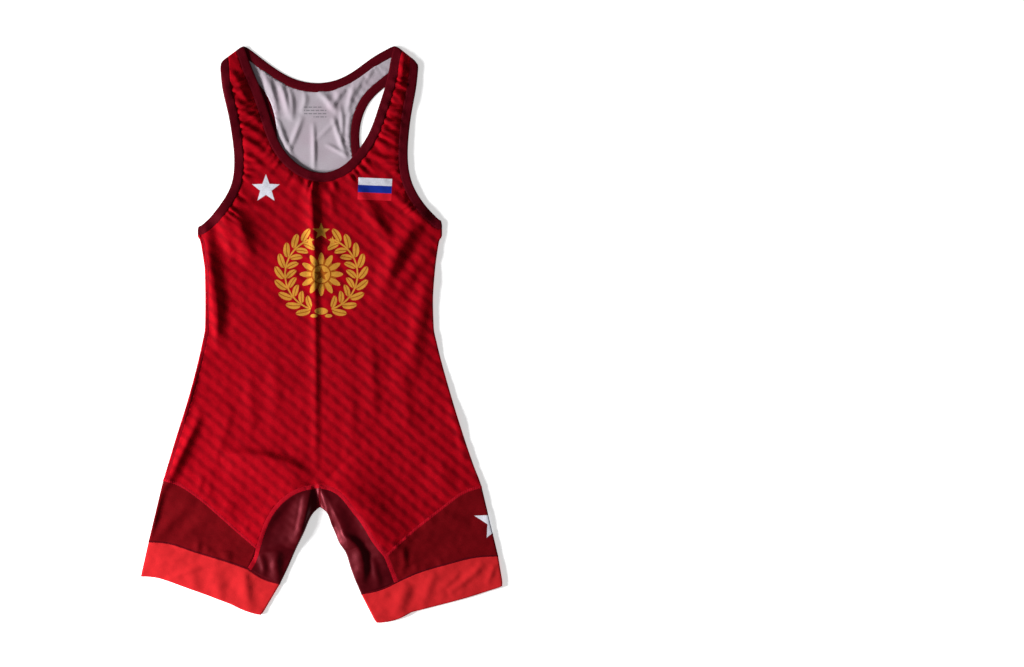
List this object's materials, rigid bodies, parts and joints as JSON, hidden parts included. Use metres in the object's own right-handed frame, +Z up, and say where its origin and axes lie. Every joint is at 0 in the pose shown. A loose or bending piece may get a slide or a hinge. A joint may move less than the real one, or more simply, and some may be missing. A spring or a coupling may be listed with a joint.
{
  "type": "wrestling singlet",
  "caption": "Wrestling singlet laid flat, face up: printed front over a racerback back, bound neck and armholes, side panels, inner-leg panels and coloured leg bands.",
  "frame": {"origin": "centre of the garment's outline, on the surface it lies on", "axes": "+X towards the wearer's left side, +Y towards the shoulders, +Z up out of the front"},
  "size_m": [0.5014, 0.7998, 0.0066],
  "materials": {
    "printed_red": "matt stretch knit, printed red with darker diagonal stripes, pale inside",
    "maroon": "matt dark maroon stretch knit",
    "dark_maroon_sheen": "dark maroon stretch knit with a satin sheen",
    "coral": "matt coral red stretch knit",
    "binding_maroon": "folded dark maroon knit binding"
  },
  "bodies": {
    "root": {"front_panel": "printed_red", "back_panel": "printed_red", "side_leg_panel_right": "maroon", "side_leg_panel_left": "maroon", "inner_leg_panel_right": "dark_maroon_sheen", "inner_leg_panel_left": "dark_maroon_sheen", "leg_band_right": "coral", "leg_band_left": "coral", "neck_binding": "binding_maroon", "armhole_binding_right": "binding_maroon", "armhole_binding_left": "binding_maroon"}
  },
  "joints": []
}
